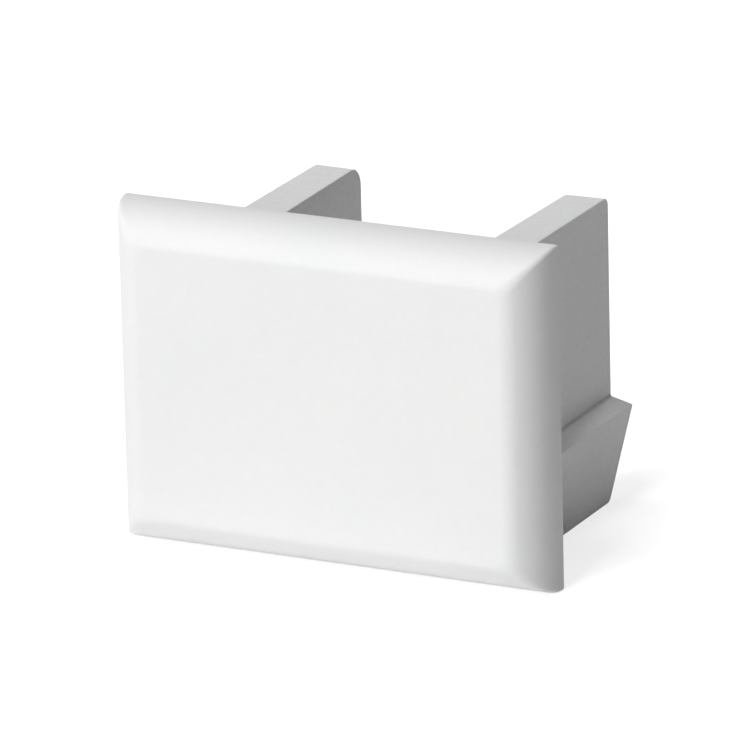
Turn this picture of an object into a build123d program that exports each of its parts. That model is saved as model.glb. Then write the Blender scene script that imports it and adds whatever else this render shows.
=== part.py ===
from build123d import *
from math import atan2, degrees, radians, sqrt, tan
import os

# Profile end cap: a moulded face plate with two legs that push into the end of a profile.
# Millimetres. X runs across the face, +Y from the seat into the profile, Z up.
# The origin is the middle of the seat, the flat back of the face plate.

# Face plate
CAP_WIDTH = 25.0
CAP_HEIGHT = 18.7
FACE_THICKNESS = 3.0
EDGE_LAND = 0.15        # straight stretch at the seat before the rounded border starts
BORDER_RADIUS = 3.2     # rounded border, square to the seat at its foot
CREASE_RADIUS = 1.1     # where the border meets the flat face
MITRE_RADIUS = 0.35     # softening along the mitred corners

# Legs
LEG_SPAN = 17.1         # across the outer faces
LEG_THICKNESS = 2.6     # at the seat
LEG_DRAFT = 1.2         # degrees, inner face only, so the outer faces stay parallel
LEG_REACH = 15.2        # from the seat to the inner edge of the leg's end
END_SKEW = 0.5          # how much shorter the outer edge of the end is
LEG_TOP_DROP = 2.0      # below the top of the face plate
INNER_NOSE_RADIUS = 1.15
OUTER_NOSE_RADIUS = 0.45
HEEL_RADIUS = 0.6       # lower corner of the end
ROOT_FILLET = 0.5       # inner corner between leg and seat
ROOT_BITE = 0.02        # how far the root fillet runs into the drafted face
EDGE_BREAK = 0.08

# Snap barbs, one along the outer face of each leg
LEDGE_HEIGHT = 5.65     # root of the ledge above the foot of the cap
LEDGE_FALL = 0.3        # the ledge slopes down to its tip by this
BARB_PROJECTION = 1.3
FOOT_STEP = 0.3         # what is left of the barb at the foot
END_RAKE = 1.0          # the end of the leg leans back by this from ledge to foot

HALF_WIDTH = CAP_WIDTH / 2
HALF_HEIGHT = CAP_HEIGHT / 2
LEG_OUTER = LEG_SPAN / 2
LEG_INNER = LEG_OUTER - LEG_THICKNESS
LEG_TOP = HALF_HEIGHT - LEG_TOP_DROP
FOOT = -HALF_HEIGHT
LEDGE = FOOT + LEDGE_HEIGHT


def border_profile(half):
    """Closed outline of the plate across one direction: seat, rounded borders and flat face."""
    arc_centre = half - BORDER_RADIUS
    rise = FACE_THICKNESS - CREASE_RADIUS - EDGE_LAND
    run = sqrt((BORDER_RADIUS - CREASE_RADIUS) ** 2 - rise ** 2)
    sweep = degrees(atan2(rise, run))
    crease_centre = arc_centre + run
    crease_depth = FACE_THICKNESS - CREASE_RADIUS
    border = CenterArc((arc_centre, -EDGE_LAND), BORDER_RADIUS, 0, -sweep)
    crease = CenterArc((crease_centre, -crease_depth), CREASE_RADIUS, -sweep, sweep - 90)
    right = [Line((half, 0), (half, -EDGE_LAND)), border, crease]
    left = [mirror(edge, Plane.YZ) for edge in right]
    seat = Line((-half, 0), (half, 0))
    face = Line((-crease_centre, -FACE_THICKNESS), (crease_centre, -FACE_THICKNESS))
    return make_face([seat, face, *right, *left])


def on_mitre(edge):
    """True for an edge that lies in one of the four planes where the borders meet."""
    return all(
        abs((HALF_WIDTH - abs(p.X)) - (HALF_HEIGHT - abs(p.Z))) < 1e-4 for p in points_on(edge)
    )


def face_plate():
    """The same border along all four sides: two long profiles crossed, then the mitres softened."""
    across = extrude(border_profile(HALF_WIDTH), HALF_HEIGHT, both=True)
    upright = Plane(origin=(0, 0, 0), x_dir=(0, 0, 1), z_dir=(-1, 0, 0))
    along = extrude(upright * border_profile(HALF_HEIGHT), HALF_WIDTH, both=True)
    plate = across & along
    return fillet([edge for edge in plate.edges() if on_mitre(edge)], MITRE_RADIUS)


def leg_side(x, reach, nose_radius):
    """Side view of a leg at a given x, with its rounded nose, raked lower end and heel."""
    outline = Polyline(
        (0, FOOT),
        (0, LEG_TOP),
        (reach, LEG_TOP),
        (reach, LEDGE),
        (reach - END_RAKE, FOOT),
        close=True,
    )
    side = make_face(outline.edges())
    nose = side.vertices().sort_by_distance((reach, LEG_TOP))[0]
    side = fillet(nose, nose_radius)
    heel = side.vertices().sort_by_distance((reach - END_RAKE, FOOT))[0]
    side = fillet(heel, HEEL_RADIUS)
    return Plane.YZ.offset(x) * side


def barb():
    """Wedge along the outer face of the right leg: a ledge above, a long lead-in below."""
    wedge = Polyline(
        (LEG_OUTER, LEDGE),
        (LEG_OUTER + BARB_PROJECTION, LEDGE - LEDGE_FALL),
        (LEG_OUTER + FOOT_STEP, FOOT),
        (LEG_OUTER, FOOT),
        close=True,
    )
    swept = extrude(Plane.XZ * make_face(wedge.edges()), -LEG_REACH)
    outer = leg_side(LEG_OUTER, LEG_REACH - END_SKEW, OUTER_NOSE_RADIUS)
    return swept & extrude(outer, BARB_PROJECTION)


def right_leg():
    """A tapered tongue: lofted from the inner side view to the outer one, then drafted inside."""
    inner = leg_side(LEG_INNER, LEG_REACH, INNER_NOSE_RADIUS)
    outer = leg_side(LEG_OUTER, LEG_REACH - END_SKEW, OUTER_NOSE_RADIUS)
    tongue = loft([inner, outer], ruled=True)
    shift = LEG_REACH * tan(radians(LEG_DRAFT))
    draft = Polyline(
        (LEG_INNER, 0),
        (LEG_INNER + shift, LEG_REACH),
        (LEG_INNER, LEG_REACH),
        close=True,
    )
    cutter = extrude(make_face(draft.edges()), CAP_HEIGHT, both=True)
    return tongue - cutter + barb()


def points_on(edge):
    return [edge.position_at(share) for share in (0, 0.5, 1)]


def broken_edges(leg):
    """Break every outward edge of a leg, apart from those that run into the seat."""
    free = [e for e in leg.edges() if not all(p.Y < 1e-3 for p in points_on(e))]
    outward = [e for e in free if not lies_in_ledge_root(e)]
    return fillet(outward, EDGE_BREAK)


def lies_in_ledge_root(edge):
    return all(
        abs(p.X - LEG_OUTER) < 1e-3 and abs(p.Z - LEDGE) < 1e-3 for p in points_on(edge)
    )


def root_web():
    """Concave web in the inner corner of the right leg, up to the broken edge of its top."""
    foot_x = LEG_INNER - ROOT_FILLET + ROOT_BITE
    curve = CenterArc((foot_x, ROOT_FILLET), ROOT_FILLET, -90, 90)
    rest = Polyline(
        (LEG_INNER + ROOT_BITE, ROOT_FILLET),
        (LEG_OUTER - ROOT_FILLET, ROOT_FILLET),
        (LEG_OUTER - ROOT_FILLET, 0),
        (foot_x, 0),
    )
    section = make_face([curve, *rest.edges()])
    return Pos(0, 0, FOOT + EDGE_BREAK) * extrude(section, LEG_TOP - FOOT - 2 * EDGE_BREAK)


def end_cap():
    leg = broken_edges(right_leg()) + root_web()
    return face_plate() + leg + mirror(leg, Plane.YZ)


os.makedirs("parts", exist_ok=True)
cap = end_cap()
print("solids", len(cap.solids()), "valid", cap.is_valid, "volume", round(cap.volume, 1))
export_step(cap, "parts/end_cap.step")
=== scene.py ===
"""Profile end cap: a one-piece moulded plug with a rounded face plate and two snap-in legs."""

from math import cos, pi, radians, sin

import bpy
from mathutils import Matrix, Vector


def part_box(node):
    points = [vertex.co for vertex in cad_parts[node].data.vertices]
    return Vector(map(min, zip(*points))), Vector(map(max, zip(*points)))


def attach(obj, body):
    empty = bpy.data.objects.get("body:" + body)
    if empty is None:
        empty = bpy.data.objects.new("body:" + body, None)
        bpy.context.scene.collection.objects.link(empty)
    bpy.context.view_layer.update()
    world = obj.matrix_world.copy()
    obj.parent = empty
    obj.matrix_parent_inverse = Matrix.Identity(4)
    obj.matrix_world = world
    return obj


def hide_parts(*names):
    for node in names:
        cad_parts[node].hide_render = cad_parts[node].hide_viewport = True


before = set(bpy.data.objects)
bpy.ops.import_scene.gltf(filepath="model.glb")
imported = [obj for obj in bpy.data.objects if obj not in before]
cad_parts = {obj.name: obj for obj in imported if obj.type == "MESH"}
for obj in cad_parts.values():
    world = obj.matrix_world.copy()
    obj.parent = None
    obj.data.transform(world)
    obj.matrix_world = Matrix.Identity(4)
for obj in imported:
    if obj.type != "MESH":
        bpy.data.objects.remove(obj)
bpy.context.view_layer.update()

bl_info = {
    "name": "Profile End Cap",
    "version": (1, 0, 0),
    "blender": (4, 5, 0),
    "location": "View3D > Sidebar > End Cap",
    "description": "Builds a moulded end cap with snap-in legs, its plastic and a pale studio",
    "category": "Add Mesh",
}

MM = 0.001
CAP_LOW, CAP_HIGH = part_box("end_cap")

# How finely the round stretches are divided
MITRE_STEPS = 7
BORDER_STEPS = 32
NOSE_STEPS = 10
BREAK_STEPS = 3

WELD = 1e-7             # metres: points closer than this are one point
ROOT_BITE = 0.04        # share of the root web's radius that it runs into the leg and the seat
SHARP = radians(30)     # folds that turn by more than this are broken
FACE_WEIGHT = 100       # how firmly the large faces keep their own shading

# Skin of the plastic
MOTTLE_SCALE = 160.0    # patches to the metre
MOTTLE_CONTRAST = 2.0   # spreads the broad noise, which stays near its middle
GRAIN_SCALE = 3500.0    # grains to the metre
GRAIN_DEPTH = 0.01 * MM
SPECKLE = 0.2           # how much the grain shows in the colour, at full strength
NOISE_DETAIL = 3.0
PAINTED_SHADE_REACH = 0.2 * MM   # how far the painted shade reaches from the inner corner
PAINTED_SHADE_DEPTH = 0.45       # share of the colour that the painted shade takes away in the corner itself
PLASTIC_IOR = 1.5

# Lamps: name, degrees to the right of the face, degrees of rise, watts
LAMPS = [
    ("high_front", -10, 60, 1.88),
    ("low_front_left", -20, 12, 1.22),
    ("low_front", 0, 12, 0.64),
    ("front_left", -30, 45, 0.63),
    ("side_left", -90, 45, 0.78),
    ("back", 180, 25, 0.44),
]


def length(name, description, millimetres):
    """A size in the sidebar, written in millimetres and kept in metres."""
    return bpy.props.FloatProperty(
        name=name,
        description=description,
        default=millimetres * MM,
        min=0.0,
        subtype="DISTANCE",
        unit="LENGTH",
        precision=5,
    )


def angle(name, description, degrees):
    """An angle in the sidebar, written in degrees and kept in radians."""
    return bpy.props.FloatProperty(
        name=name,
        description=description,
        default=radians(degrees),
        subtype="ANGLE",
        unit="ROTATION",
    )


class CapSizes(bpy.types.PropertyGroup):
    """Sizes of the moulding. The frame gives its width, height and reach."""

    width: length("Width", "Across the face plate", 2 * CAP_HIGH.x / MM)
    height: length("Height", "Up the face plate", 2 * CAP_HIGH.z / MM)
    face_thickness: length("Face thickness", "From the seat to the flat face", -CAP_LOW.y / MM)
    edge_land: length("Edge land", "Straight stretch at the seat, before the border", 0.15)
    border_radius: length("Border radius", "Radius of the rounded border", 3.2)
    crease_radius: length("Crease radius", "Where the upper and lower borders meet the face", 0.85)
    side_crease: length("Side crease", "Where the side borders meet the face", 1.5)
    mitre_radius: length("Mitre radius", "Softening where two borders meet at the seat", 0.15)
    face_corner: length("Face corner radius", "Softening where they reach the flat face", 0.5)
    leg_span: length("Leg span", "Across the outer faces of the legs", 17.1)
    leg_thickness: length("Leg thickness", "Thickness of a leg at the seat", 2.6)
    leg_reach: length("Leg reach", "From the seat to the end of a leg", CAP_HIGH.y / MM)
    leg_top_drop: length("Leg top drop", "From the top of the plate to the top of a leg", 2.0)
    end_skew: length("End skew", "How much shorter the outer edge of a leg's end is", 0.5)
    end_rake: length("End rake", "How far the end leans back below the ledge", 1.0)
    inner_nose: length("Inner nose", "Radius of the upper end corner, inner side", 1.15)
    outer_nose: length("Outer nose", "Radius of the upper end corner, outer side", 0.45)
    heel_radius: length("Heel radius", "Radius of the lower end corner", 0.35)
    root_fillet: length("Root fillet", "Web between a leg and the seat", 0.5)
    ledge_height: length("Ledge height", "From the foot to the root of the snap ledge", 5.65)
    ledge_fall: length("Ledge fall", "How far the ledge slopes down to its tip", 0.3)
    barb_projection: length("Barb projection", "How far the barb stands out at its tip", 1.3)
    foot_step: length("Foot step", "What is left of the barb at the foot", 0.3)
    edge_break: length("Edge break", "Softening of every sharp edge", 0.06)
    leg_draft: angle("Leg draft", "Slope of a leg's inner face, so that the mould releases it", 1.2)


class CapFinish(bpy.types.PropertyGroup):
    """Colour and skin of the plastic."""

    plastic_colour: bpy.props.FloatVectorProperty(
        name="Plastic colour",
        description="Colour of the plastic where it is lightest",
        subtype="COLOR",
        default=(0.907, 0.907, 0.900),
        min=0.0,
        max=1.0,
    )
    plastic_shade: bpy.props.FloatVectorProperty(
        name="Plastic shade",
        description="Colour of the plastic where its mottle is darkest",
        subtype="COLOR",
        default=(0.879, 0.890, 0.885),
        min=0.0,
        max=1.0,
    )
    roughness: bpy.props.FloatProperty(
        name="Roughness",
        description="How matt the moulded skin is",
        default=0.5,
        min=0.0,
        max=1.0,
        subtype="FACTOR",
    )
    plate_grain: bpy.props.FloatProperty(
        name="Plate grain",
        description="Strength of the fine grain on the face plate",
        default=0.2,
        min=0.0,
        max=1.0,
        subtype="FACTOR",
    )
    leg_grain: bpy.props.FloatProperty(
        name="Leg grain",
        description="Strength of the fine grain on the legs, which are not finished as finely",
        default=0.8,
        min=0.0,
        max=1.0,
        subtype="FACTOR",
    )


class CapStage(bpy.types.PropertyGroup):
    """Floor, lamps, surroundings and camera."""

    camera_turn: angle("Camera turn", "How far the camera stands to the right of the face", 26.53)
    camera_rise: angle("Camera rise", "How far the camera looks down on the cap", 18.02)
    camera_roll: angle("Camera roll", "Tilt of the camera about its line of sight", -1.38)
    camera_distance: length("Camera distance", "From the point aimed at to the camera", 450.0)
    lens: bpy.props.FloatProperty(
        name="Lens",
        description="Focal length of the camera in millimetres",
        default=414.7,
        min=1.0,
    )
    aim: bpy.props.FloatVectorProperty(
        name="Aim",
        description="Point that the camera looks at",
        subtype="TRANSLATION",
        unit="LENGTH",
        default=[place * MM for place in (1.363, 0.935, 0.699)],
        precision=5,
    )
    lamp_size: length("Lamp size", "Width of each square lamp", 250.0)
    lamp_distance: length("Lamp distance", "From the cap to each lamp", 700.0)
    floor_size: length("Floor size", "Width of the floor", 3000.0)
    floor_colour: bpy.props.FloatVectorProperty(
        name="Floor colour",
        description="Colour of the floor",
        subtype="COLOR",
        default=(0.85, 0.85, 0.85),
        min=0.0,
        max=1.0,
    )
    floor_lift: bpy.props.FloatProperty(
        name="Floor lift",
        description="White added to the floor where the camera or a glossy surface sees it",
        default=0.72,
        min=0.0,
    )
    fill: bpy.props.FloatProperty(
        name="Fill",
        description="Strength of the light from all round",
        default=0.006,
        min=0.0,
    )


# ---------------------------------------------------------------- node helpers


def plug(tree, value, socket):
    """Give a socket a term, another node's socket or a plain value."""
    if isinstance(value, Term):
        value = value.socket
    if isinstance(value, bpy.types.NodeSocket):
        tree.links.new(value, socket)
    else:
        socket.default_value = value


def node(tree, kind, inputs=None, **settings):
    """Add a node with its settings, and fill its inputs, named or numbered."""
    made = tree.nodes.new(kind)
    for name, value in settings.items():
        setattr(made, name, value)
    for name, value in (inputs or {}).items():
        plug(tree, value, made.inputs[name])
    return made


class Term:
    """A number in a node tree. Arithmetic on it adds the Math nodes that work it out."""

    def __init__(self, tree, socket):
        self.tree = tree
        self.socket = socket

    def math(self, operation, *others):
        inputs = dict(enumerate((self, *others)))
        made = node(self.tree, "ShaderNodeMath", inputs, operation=operation)
        return Term(self.tree, made.outputs["Value"])

    def clamped(self, low, high):
        return self.math("MAXIMUM", low).math("MINIMUM", high)

    def __add__(self, other):
        return self.math("ADD", other)

    def __sub__(self, other):
        return self.math("SUBTRACT", other)

    def __mul__(self, other):
        return self.math("MULTIPLY", other)

    def __truediv__(self, other):
        return self.math("DIVIDE", other)

    def __neg__(self):
        return self.math("MULTIPLY", -1.0)


def vector(tree, x, y, z):
    """A vector socket made of three coordinates."""
    made = node(tree, "ShaderNodeCombineXYZ", {"X": x, "Y": y, "Z": z})
    return made.outputs["Vector"]


def coordinates(tree, place):
    """The three coordinates of a vector socket, as terms."""
    parts = node(tree, "ShaderNodeSeparateXYZ", {"Vector": place})
    return [Term(tree, parts.outputs[axis]) for axis in "XYZ"]


def own_place(tree):
    """The coordinates of the point that a field is worked out for."""
    return coordinates(tree, node(tree, "GeometryNodeInputPosition").outputs["Position"])


def own_number(tree):
    """The number of the point that a field is worked out for."""
    return Term(tree, node(tree, "GeometryNodeInputIndex").outputs["Index"])


def moved(tree, geometry, x, y, z, selection=True):
    """Put a geometry's points, or the selected ones, at new coordinates."""
    inputs = {"Geometry": geometry, "Selection": selection, "Position": vector(tree, x, y, z)}
    return node(tree, "GeometryNodeSetPosition", inputs).outputs["Geometry"]


def flipped(tree, mesh):
    """Turn every face to point the other way."""
    return node(tree, "GeometryNodeFlipFaces", {"Mesh": mesh}).outputs["Mesh"]


def welded(tree, *parts):
    """Close a shell whose parts meet edge to edge."""
    whole = node(tree, "GeometryNodeJoinGeometry")
    for part in parts:
        tree.links.new(part, whole.inputs["Geometry"])
    inputs = {"Geometry": whole.outputs["Geometry"], "Distance": WELD}
    return node(tree, "GeometryNodeMergeByDistance", inputs).outputs["Geometry"]


def combined(tree, operation, *parts):
    """Unite or intersect closed meshes."""
    made = node(tree, "GeometryNodeMeshBoolean", operation=operation, solver="EXACT")
    for part in parts:
        tree.links.new(part, made.inputs["Mesh 2"])
    return made.outputs["Mesh"]


def pick(tree, kind, choices):
    """One of several values, chosen by each point's number."""
    made = node(tree, "GeometryNodeIndexSwitch", {"Index": own_number(tree)}, data_type=kind)
    for _ in choices[2:]:
        made.index_switch_items.new()
    for number, choice in enumerate(choices):
        plug(tree, choice, made.inputs[number + 1])
    return made.outputs["Output"]


def outline(tree, corners, radii, steps=NOSE_STEPS):
    """A flat closed curve through corners, each rounded by its own radius."""
    places = pick(tree, "VECTOR", [vector(tree, x, y, 0.0) for x, y in corners])
    loop = node(tree, "GeometryNodeCurvePrimitiveCircle", {"Resolution": len(corners)})
    inputs = {"Geometry": loop.outputs["Curve"], "Position": places}
    shaped = node(tree, "GeometryNodeSetPosition", inputs).outputs["Geometry"]
    inputs = {"Curve": shaped, "Count": steps, "Radius": pick(tree, "FLOAT", radii)}
    return node(tree, "GeometryNodeFilletCurve", inputs, mode="POLY").outputs["Curve"]


def filled(tree, curve):
    """One flat face inside a closed curve, at height zero."""
    return node(tree, "GeometryNodeFillCurve", {"Curve": curve}, mode="NGONS").outputs["Mesh"]


def sampled_place(tree, geometry, number):
    """Coordinates of another geometry's point, found by its number."""
    place = node(tree, "GeometryNodeInputPosition").outputs["Position"]
    made = node(tree, "GeometryNodeSampleIndex", data_type="FLOAT_VECTOR", domain="POINT")
    plug(tree, geometry, made.inputs["Geometry"])
    plug(tree, place, made.inputs["Value"])
    plug(tree, number, made.inputs["Index"])
    return coordinates(tree, made.outputs["Value"])


def raised(tree, face, depth):
    """A flat face lifted by depth on straight sides. Also gives the selection of its top."""
    inputs = {"Mesh": face, "Offset": vector(tree, 0.0, 0.0, depth), "Individual": False}
    made = node(tree, "GeometryNodeExtrudeMesh", inputs, mode="FACES")
    return made.outputs["Mesh"], made.outputs["Top"]


def prism(tree, face, start, depth):
    """A closed prism on a flat face, from a start height."""
    lifted, _ = raised(tree, face, depth)
    x, y, z = own_place(tree)
    return moved(tree, welded(tree, lifted, flipped(tree, face)), x, y, z + start)


# ---------------------------------------------------------------- the moulding


def border_inset(size, depth, crease):
    """How far a border has drawn in at a depth: straight land, border arc, then crease arc."""
    radius = size["Border radius"]
    rise = size["Face thickness"] - crease - size["Edge land"]
    gap = radius - crease
    run = (gap * gap - rise * rise).math("SQRT")
    along = (depth - size["Edge land"]).clamped(0.0, radius)
    on_border = radius - (radius * radius - along * along).math("SQRT")
    past = depth - (size["Face thickness"] - crease)
    on_crease = radius - run - (crease * crease - past * past).math("SQRT")
    in_crease = along.math("GREATER_THAN", radius * rise / gap)
    return on_border + in_crease * (on_crease - on_border)


def ring_depth(size, number):
    """Depth of one ring of the plate: the seat, the end of the land, then closer and closer."""
    share = ((number - 1.0) / BORDER_STEPS).clamped(0.0, 1.0)
    fall = (size["Face thickness"] - size["Edge land"]) * (share * (pi / 2)).math("SINE")
    return size["Edge land"] * number.clamped(0.0, 1.0) + fall


def drawn_in(tree, size, geometry, x, y, depth):
    """Put the plate's outline on the ring at a depth.

    Each side moves in square to itself, and each corner's arc grows towards the face.
    """
    mitre = size["Mitre radius"]
    share = depth / size["Face thickness"]
    growth = (size["Face corner radius"] - mitre) * share * share
    side_inset = border_inset(size, depth, size["Side crease"])
    top_inset = border_inset(size, depth, size["Crease radius"])
    directions = ((x, size["Width"] / 2, side_inset), (y, size["Height"] / 2, top_inset))
    places = []
    for place, half, inset in directions:
        outward = (place.math("ABSOLUTE") - (half - mitre)) / mitre
        drawn = half - inset - mitre - growth + outward * (mitre + growth)
        places.append(place.math("SIGN") * drawn)
    return moved(tree, geometry, *places, depth)


def face_plate(tree, size):
    """One border profile carried round a rectangle, closed by the flat face and the seat."""
    right, top = size["Width"] / 2, size["Height"] / 2
    corners = [(right, top), (-right, top), (-right, -top), (right, -top)]
    rim = outline(tree, corners, [size["Mitre radius"]] * len(corners), MITRE_STEPS)
    counted = node(tree, "GeometryNodeAttributeDomainSize", {"Geometry": rim}, component="CURVE")
    points = Term(tree, counted.outputs["Point Count"])
    rings = BORDER_STEPS + 2
    inputs = {"Vertices X": points + 1.0, "Vertices Y": rings}
    sheet = node(tree, "GeometryNodeMeshGrid", inputs).outputs["Mesh"]
    column = (own_number(tree) / rings).math("FLOOR").math("MODULO", points)
    depth = ring_depth(size, own_number(tree).math("MODULO", float(rings)))
    x, y, _ = sampled_place(tree, rim, column)
    border = drawn_in(tree, size, sheet, x, y, depth)
    x, y, _ = own_place(tree)
    edge = drawn_in(tree, size, rim, x, y, size["Face thickness"])
    face = moved(tree, filled(tree, edge), x, y, size["Face thickness"])
    lying = welded(tree, border, face, flipped(tree, filled(tree, rim)))
    x, y, z = own_place(tree)
    return moved(tree, lying, x, -z, y)


def leg_side(tree, size, reach, nose):
    """Side of a leg as a flat face: x is the reach from the seat, y is up.

    It starts a little inside the plate, so that the two join cleanly.
    """
    top = size["Height"] / 2 - size["Leg top drop"]
    foot = -size["Height"] / 2
    ledge = foot + size["Ledge height"]
    root = -size["Edge land"] / 2
    heel = reach - size["End rake"]
    corners = [(root, foot), (heel, foot), (reach, ledge), (reach, top), (root, top)]
    radii = [0.0, size["Heel radius"], 0.0, nose, 0.0]
    return filled(tree, outline(tree, corners, radii))


def tongue(tree, size, outer_side):
    """The leg itself, lofted from its drafted inner face to its outer face."""
    outer_face = size["Leg span"] / 2
    inner_face = outer_face - size["Leg thickness"]
    inner_side = leg_side(tree, size, size["Leg reach"], size["Inner nose"])
    kept = node(tree, "GeometryNodeCaptureAttribute", {"Geometry": inner_side})
    kept.capture_items.new("INT", "number")
    plug(tree, own_number(tree), kept.inputs["number"])
    lifted, outside = raised(tree, kept.outputs["Geometry"], size["Leg thickness"])
    x, y, _ = sampled_place(tree, outer_side, kept.outputs["number"])
    lofted = moved(tree, lifted, x, y, outer_face, outside)
    shell = welded(tree, lofted, flipped(tree, kept.outputs["Geometry"]))
    # The inner face still lies at height zero, which tells it from the outer one
    x, y, z = own_place(tree)
    inside = z.math("LESS_THAN", WELD)
    drafted = inner_face + x * size["Leg draft"].math("TANGENT")
    return moved(tree, shell, x, y, z + inside * drafted)


def barb(tree, size, outer_side):
    """Wedge along the outer face: a ledge above, a long lead-in below, ended like the leg."""
    outer_face = size["Leg span"] / 2
    buried = size["Leg thickness"] / 2
    foot = -size["Height"] / 2
    ledge = foot + size["Ledge height"]
    slope = size["Ledge fall"] / size["Barb projection"]
    at_foot = outer_face + size["Foot step"]
    corners = [
        (outer_face - buried, ledge + slope * buried),
        (outer_face - buried, foot - buried),
        (at_foot, foot - buried),
        (at_foot, foot),
        (outer_face + size["Barb projection"], ledge - size["Ledge fall"]),
    ]
    section = filled(tree, outline(tree, corners, [0.0] * len(corners)))
    wedge = prism(tree, section, -buried, size["Leg reach"] + buried * 2)
    x, y, z = own_place(tree)
    wedge = flipped(tree, moved(tree, wedge, z, y, x))
    stop = prism(tree, outer_side, outer_face - buried * 2, size["Leg thickness"] * 2)
    return combined(tree, "INTERSECT", wedge, stop)


def root_web(tree, size):
    """Concave web in the inner corner between the leg and the seat."""
    bite = size["Root fillet"] * ROOT_BITE
    face = size["Leg span"] / 2 - size["Leg thickness"] + bite
    root = -size["Edge land"] / 2
    far = size["Root fillet"] + bite
    corners = [
        (face - far, -bite),
        (face - far, root),
        (face + far, root),
        (face + far, far),
        (face, far),
        (face, -bite),
    ]
    section = filled(tree, outline(tree, corners, [0.0] * 5 + [size["Root fillet"]]))
    depth = size["Height"] - size["Leg top drop"] - size["Edge break"] * 2
    web = prism(tree, section, size["Edge break"] - size["Height"] / 2, depth)
    x, y, z = own_place(tree)
    return moved(tree, web, y, z, x)


def size_labels():
    """The label of each size, with the size's own name."""
    return {CapSizes.bl_rna.properties[name].name: name for name in CapSizes.__annotations__}


def cap_tree(plastic):
    """The whole moulding as a node tree. Its inputs are the sizes."""
    tree = bpy.data.node_groups.new("moulded cap", "GeometryNodeTree")
    for label in size_labels():
        tree.interface.new_socket(label, in_out="INPUT", socket_type="NodeSocketFloat")
    tree.interface.new_socket("Cap", in_out="OUTPUT", socket_type="NodeSocketGeometry")
    given = node(tree, "NodeGroupInput")
    size = {label: Term(tree, given.outputs[label]) for label in size_labels()}
    outer_side = leg_side(tree, size, size["Leg reach"] - size["End skew"], size["Outer nose"])
    parts = [tongue(tree, size, outer_side), barb(tree, size, outer_side), root_web(tree, size)]
    # The legs are worked out as reach, height and distance across, and turned into place here
    x, y, z = own_place(tree)
    right_leg = moved(tree, combined(tree, "UNION", *parts), z, x, y)
    left_leg = flipped(tree, moved(tree, right_leg, -x, y, z))
    whole = combined(tree, "UNION", face_plate(tree, size), right_leg, left_leg)
    real = node(tree, "GeometryNodeRealizeInstances", {"Geometry": whole}).outputs["Geometry"]
    inputs = {"Geometry": real, "Material": plastic}
    finished = node(tree, "GeometryNodeSetMaterial", inputs).outputs["Geometry"]
    node(tree, "NodeGroupOutput", {"Cap": finished})
    return tree


def plain_mesh(piece):
    """Replace a piece's live modifiers by the mesh that they give."""
    view = bpy.context.evaluated_depsgraph_get()
    mesh = bpy.data.meshes.new_from_object(piece.evaluated_get(view))
    mesh.name = piece.name
    piece.modifiers.clear()
    piece.data = mesh


def moulded_piece(sizes, plastic):
    """The whole moulding as a plain mesh, with its edges still sharp."""
    piece = bpy.data.objects.new("moulded_cap", bpy.data.meshes.new("moulded_cap"))
    bpy.context.scene.collection.objects.link(piece)
    tree = cap_tree(plastic)
    build = piece.modifiers.new("Moulding", "NODES")
    build.node_group = tree
    names = size_labels()
    for item in tree.interface.items_tree:
        if item.in_out == "INPUT":
            build[item.identifier] = getattr(sizes, names[item.name])
    plain_mesh(piece)
    return piece


def soften_edges(piece, width):
    """Break the sharp edges, and keep the flat faces flat in their shading."""
    piece.data.shade_smooth()
    bevel = piece.modifiers.new("Edge break", "BEVEL")
    bevel.limit_method = "ANGLE"
    bevel.angle_limit = SHARP
    bevel.width = width
    bevel.segments = BREAK_STEPS
    bevel.use_clamp_overlap = False
    bevel.miter_outer = "MITER_ARC"
    shading = piece.modifiers.new("Flat faces", "WEIGHTED_NORMAL")
    shading.weight = FACE_WEIGHT
    shading.keep_sharp = False
    plain_mesh(piece)


# ---------------------------------------------------------------- materials


def new_material(name):
    """An empty node material. Returns it, its tree and its surface output."""
    material = bpy.data.materials.new(name)
    material.use_nodes = True
    tree = material.node_tree
    tree.nodes.clear()
    return material, tree, node(tree, "ShaderNodeOutputMaterial")


def noise(tree, place, scale):
    """Soft noise from 0 to 1, as a term."""
    inputs = {"Vector": place, "Scale": scale, "Detail": NOISE_DETAIL}
    return Term(tree, node(tree, "ShaderNodeTexNoise", inputs).outputs["Fac"])


def painted_shade_in_corner(sizes, x, z):
    """Painted shade: what the colour loses along the inner corner where a snap ledge starts, where
    shade falls.
    """
    from_leg = x.math("ABSOLUTE") - sizes.leg_span / 2
    from_ledge = z - (sizes.ledge_height - sizes.height / 2)
    distance = (from_leg * from_leg + from_ledge * from_ledge).math("SQRT")
    return (-distance / PAINTED_SHADE_REACH + 1.0).clamped(0.0, 1.0) * PAINTED_SHADE_DEPTH


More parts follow.
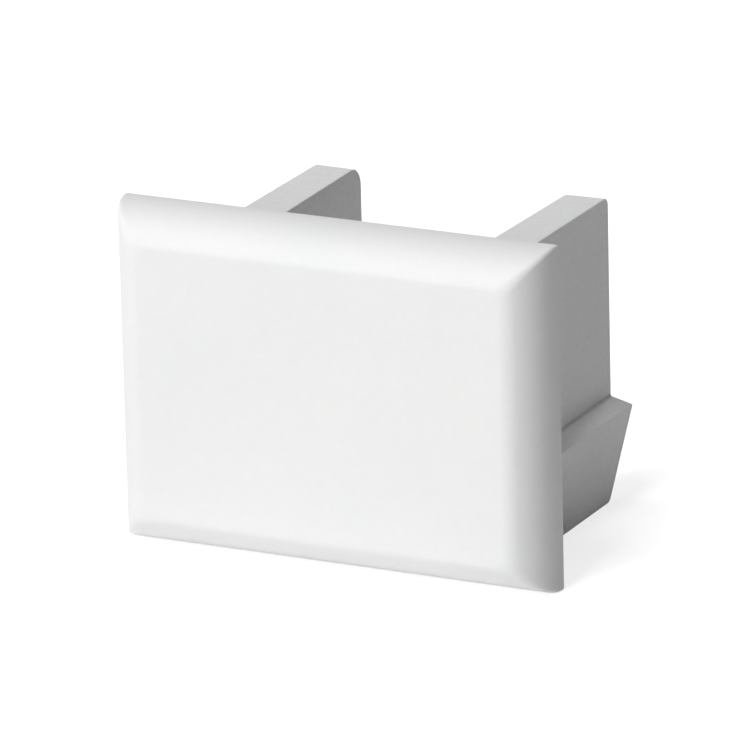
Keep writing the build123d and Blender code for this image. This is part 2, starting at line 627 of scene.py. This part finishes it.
def cap_plastic(finish, sizes):
    """Matt white plastic: a broad faint mottle, a skin that is rougher behind the plate, and
    painted shade in the inner corners above the snap ledges.
    """
    material, tree, output = new_material("white_moulded_plastic")
    place = node(tree, "ShaderNodeTexCoord").outputs["Object"]
    x, y, z = coordinates(tree, place)
    mottle = noise(tree, place, MOTTLE_SCALE)
    share = ((mottle - 0.5) * MOTTLE_CONTRAST + 0.5).clamped(0.0, 1.0)
    tint = node(tree, "ShaderNodeMix", data_type="RGBA")
    plug(tree, share, tint.inputs["Factor"])
    tint.inputs["A"].default_value = (*finish.plastic_shade, 1.0)
    tint.inputs["B"].default_value = (*finish.plastic_colour, 1.0)
    grain = noise(tree, place, GRAIN_SCALE)
    behind = y.math("GREATER_THAN", 0.0)
    strength = behind * (finish.leg_grain - finish.plate_grain) + finish.plate_grain
    speckle = (grain - 0.5) * strength * SPECKLE + 1.0
    # Painted shade along the inner corner above each snap ledge, kept behind the plate
    painted_shade = painted_shade_in_corner(sizes, x, z) * behind
    inputs = {"Vector": tint.outputs["Result"], "Scale": speckle - painted_shade}
    colour = node(tree, "ShaderNodeVectorMath", inputs, operation="SCALE")
    inputs = {"Height": grain, "Distance": GRAIN_DEPTH, "Strength": strength}
    bump = node(tree, "ShaderNodeBump", inputs)
    inputs = {
        "Base Color": colour.outputs["Vector"],
        "Roughness": finish.roughness,
        "Normal": bump.outputs["Normal"],
        "IOR": PLASTIC_IOR,
    }
    skin = node(tree, "ShaderNodeBsdfPrincipled", inputs)
    plug(tree, skin.outputs["BSDF"], output.inputs["Surface"])
    return material


def seen_white(tree):
    """1 for a ray from the camera, from a glossy surface or through glass, and otherwise 0."""
    path = node(tree, "ShaderNodeLightPath")
    seen = Term(tree, path.outputs["Is Camera Ray"])
    for kind in ("Is Glossy Ray", "Is Transmission Ray"):
        seen = seen.math("MAXIMUM", Term(tree, path.outputs[kind]))
    return seen


def floor_paper(stage):
    """White paper that is seen at full white, apart from the shadow on it."""
    material, tree, output = new_material("white_floor_paper")
    paper = node(tree, "ShaderNodeBsdfDiffuse", {"Color": (*stage.floor_colour, 1.0)})
    lift = node(tree, "ShaderNodeEmission", {"Strength": seen_white(tree) * stage.floor_lift})
    inputs = {0: paper.outputs["BSDF"], 1: lift.outputs["Emission"]}
    both = node(tree, "ShaderNodeAddShader", inputs)
    plug(tree, both.outputs["Shader"], output.inputs["Surface"])
    return material


# ---------------------------------------------------------------- the stage


def toward(turn, rise):
    """Unit vector from the cap to the right of its face by turn, and upwards by rise."""
    return Vector((sin(turn) * cos(rise), -cos(turn) * cos(rise), sin(rise)))


def camera_frame(stage):
    """Right, up and back directions of the camera, rolled about its own line of sight."""
    turn, roll = stage.camera_turn, stage.camera_roll
    back = toward(turn, stage.camera_rise)
    level = Vector((cos(turn), sin(turn), 0.0))
    upright = back.cross(level)
    right = level * cos(roll) + upright * sin(roll)
    up = upright * cos(roll) - level * sin(roll)
    return right, up, back


def add_camera(stage):
    """A long lens in front of the cap, to the right and above."""
    right, up, back = camera_frame(stage)
    lens = bpy.data.cameras.new("camera")
    lens.sensor_width = 36.0
    lens.lens = stage.lens
    lens.clip_start = 0.01
    lens.clip_end = 10.0
    camera = bpy.data.objects.new("camera", lens)
    place = Vector(stage.aim) + back * stage.camera_distance
    turned = Matrix((right, up, back)).transposed().to_4x4()
    camera.matrix_world = Matrix.Translation(place) @ turned
    bpy.context.scene.collection.objects.link(camera)
    bpy.context.scene.camera = camera


def add_lamp(stage, name, turn, rise, watts):
    """A soft square lamp that faces the cap."""
    lamp = bpy.data.lights.new(name, "AREA")
    lamp.shape = "SQUARE"
    lamp.size = stage.lamp_size
    lamp.energy = watts
    holder = bpy.data.objects.new(name, lamp)
    direction = toward(radians(turn), radians(rise))
    holder.location = direction * stage.lamp_distance
    holder.rotation_euler = (-direction).to_track_quat("-Z", "Y").to_euler()
    bpy.context.scene.collection.objects.link(holder)


def add_floor(stage):
    """A wide sheet of paper under the cap."""
    reach = stage.floor_size / 2
    corners = [(-reach, -reach), (reach, -reach), (reach, reach), (-reach, reach)]
    mesh = bpy.data.meshes.new("floor")
    mesh.from_pydata([(x, y, CAP_LOW.z) for x, y in corners], [], [range(4)])
    mesh.materials.append(floor_paper(stage))
    floor = bpy.data.objects.new("floor", mesh)
    bpy.context.scene.collection.objects.link(floor)


def add_world(stage):
    """Surroundings that look white, and give the cap only a faint fill."""
    world = bpy.data.worlds.new("studio")
    world.use_nodes = True
    tree = world.node_tree
    tree.nodes.clear()
    fill = node(tree, "ShaderNodeBackground", {"Strength": stage.fill})
    white = node(tree, "ShaderNodeBackground", {"Strength": 1.0})
    for sky in (fill, white):
        sky.inputs["Color"].default_value = (1.0, 1.0, 1.0, 1.0)
    inputs = {0: seen_white(tree), 1: fill.outputs[0], 2: white.outputs[0]}
    mixed = node(tree, "ShaderNodeMixShader", inputs)
    node(tree, "ShaderNodeOutputWorld", {"Surface": mixed.outputs["Shader"]})
    bpy.context.scene.world = world


# ---------------------------------------------------------------- operators and panel


class ENDCAP_OT_mould(bpy.types.Operator):
    """Build the one-piece cap from its sizes, in its plastic"""

    bl_idname = "end_cap.mould"
    bl_label = "Mould the cap"

    def execute(self, context):
        sizes = context.scene.cap_sizes
        piece = moulded_piece(sizes, cap_plastic(context.scene.cap_finish, sizes))
        soften_edges(piece, sizes.edge_break)
        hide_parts("end_cap")
        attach(piece, "root")
        return {"FINISHED"}


class ENDCAP_OT_studio(bpy.types.Operator):
    """Set the floor, the lamps, the surroundings and the camera"""

    bl_idname = "end_cap.studio"
    bl_label = "Set the stage"

    def execute(self, context):
        stage = context.scene.cap_stage
        add_floor(stage)
        add_world(stage)
        for lamp in LAMPS:
            add_lamp(stage, *lamp)
        add_camera(stage)
        context.scene.view_settings.view_transform = "Standard"
        return {"FINISHED"}


STEPS = (ENDCAP_OT_mould, ENDCAP_OT_studio)


class ENDCAP_PT_panel(bpy.types.Panel):
    """Sizes, finish and stage of the end cap"""

    bl_idname = "ENDCAP_PT_panel"
    bl_label = "End cap"
    bl_space_type = "VIEW_3D"
    bl_region_type = "UI"
    bl_category = "End Cap"

    def draw(self, context):
        for group in (context.scene.cap_sizes, context.scene.cap_finish, context.scene.cap_stage):
            box = self.layout.box()
            for name in type(group).__annotations__:
                box.prop(group, name)
        for step in STEPS:
            self.layout.operator(step.bl_idname)


GROUPS = {"cap_sizes": CapSizes, "cap_finish": CapFinish, "cap_stage": CapStage}


def register():
    for kind in (*GROUPS.values(), *STEPS, ENDCAP_PT_panel):
        bpy.utils.register_class(kind)
    for name, kind in GROUPS.items():
        setattr(bpy.types.Scene, name, bpy.props.PointerProperty(type=kind))


def unregister():
    for name in GROUPS:
        delattr(bpy.types.Scene, name)
    for kind in (ENDCAP_PT_panel, *STEPS, *GROUPS.values()):
        bpy.utils.unregister_class(kind)


def main():
    register()
    bpy.ops.end_cap.mould()
    bpy.ops.end_cap.studio()


if __name__ == "__main__":
    main()
